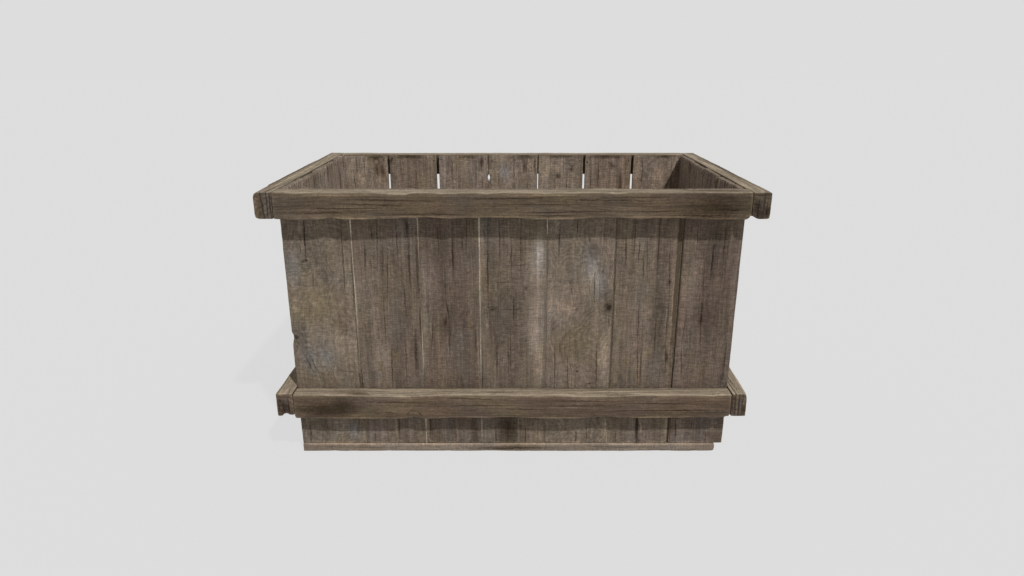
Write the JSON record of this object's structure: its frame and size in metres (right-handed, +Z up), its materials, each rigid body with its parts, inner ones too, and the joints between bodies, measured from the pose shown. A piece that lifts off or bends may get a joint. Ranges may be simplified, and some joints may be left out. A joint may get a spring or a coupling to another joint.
{
  "type": "wooden crate",
  "caption": "Open-topped weathered wooden crate of upright rough-sawn boards held by a ring of battens at the rim and another low down.",
  "frame": {"origin": "middle of the underside, the centre of the bounding box's bottom face", "axes": "+Z up, +X along the long side to the right, the front wall faces -Y"},
  "size_m": [0.754, 0.464, 0.441],
  "materials": {
    "board_wood": "weathered rough-sawn softwood, grey-brown, matt",
    "batten_wood": "weathered sawn softwood, olive brown, worn pale along the arrises, matt",
    "floor_wood": "weathered rough-sawn softwood, grey-brown, matt",
    "nail_steel": "dark rusted steel"
  },
  "bodies": {
    "root": {"back_wall_board_1": "board_wood", "back_wall_board_2": "board_wood", "back_wall_board_3": "board_wood", "back_wall_board_4": "board_wood", "back_wall_board_5": "board_wood", "back_wall_board_6": "board_wood", "back_wall_board_7": "board_wood", "floor_board_1": "floor_wood", "floor_board_2": "floor_wood", "floor_board_3": "floor_wood", "floor_board_4": "floor_wood", "floor_left_nail_1": "nail_steel", "floor_left_nail_2": "nail_steel", "floor_left_nail_3": "nail_steel", "floor_left_nail_4": "nail_steel", "floor_right_nail_1": "nail_steel", "floor_right_nail_2": "nail_steel", "floor_right_nail_3": "nail_steel", "floor_right_nail_4": "nail_steel", "front_wall_board_1": "board_wood", "front_wall_board_2": "board_wood", "front_wall_board_3": "board_wood", "front_wall_board_4": "board_wood", "front_wall_board_5": "board_wood", "front_wall_board_6": "board_wood", "front_wall_board_7": "board_wood", "left_wall_board_1": "board_wood", "left_wall_board_2": "board_wood", "left_wall_board_3": "board_wood", "left_wall_board_4": "board_wood", "left_wall_board_5": "board_wood", "low_back_batten": "batten_wood", "low_back_left_nail_1": "nail_steel", "low_back_left_nail_2": "nail_steel", "low_back_right_nail_1": "nail_steel", "low_back_right_nail_2": "nail_steel", "low_front_batten": "batten_wood", "low_front_left_nail_1": "nail_steel", "low_front_left_nail_2": "nail_steel", "low_front_right_nail_1": "nail_steel", "low_front_right_nail_2": "nail_steel", "low_left_batten": "batten_wood", "low_right_batten": "batten_wood", "right_wall_board_1": "board_wood", "right_wall_board_2": "board_wood", "right_wall_board_3": "board_wood", "right_wall_board_4": "board_wood", "right_wall_board_5": "board_wood", "rim_back_batten": "batten_wood", "rim_back_left_nail_1": "nail_steel", "rim_back_left_nail_2": "nail_steel", "rim_back_right_nail_1": "nail_steel", "rim_back_right_nail_2": "nail_steel", "rim_front_batten": "batten_wood", "rim_front_left_nail_1": "nail_steel", "rim_front_left_nail_2": "nail_steel", "rim_front_right_nail_1": "nail_steel", "rim_front_right_nail_2": "nail_steel", "rim_left_batten": "batten_wood", "rim_right_batten": "batten_wood"}
  },
  "joints": []
}
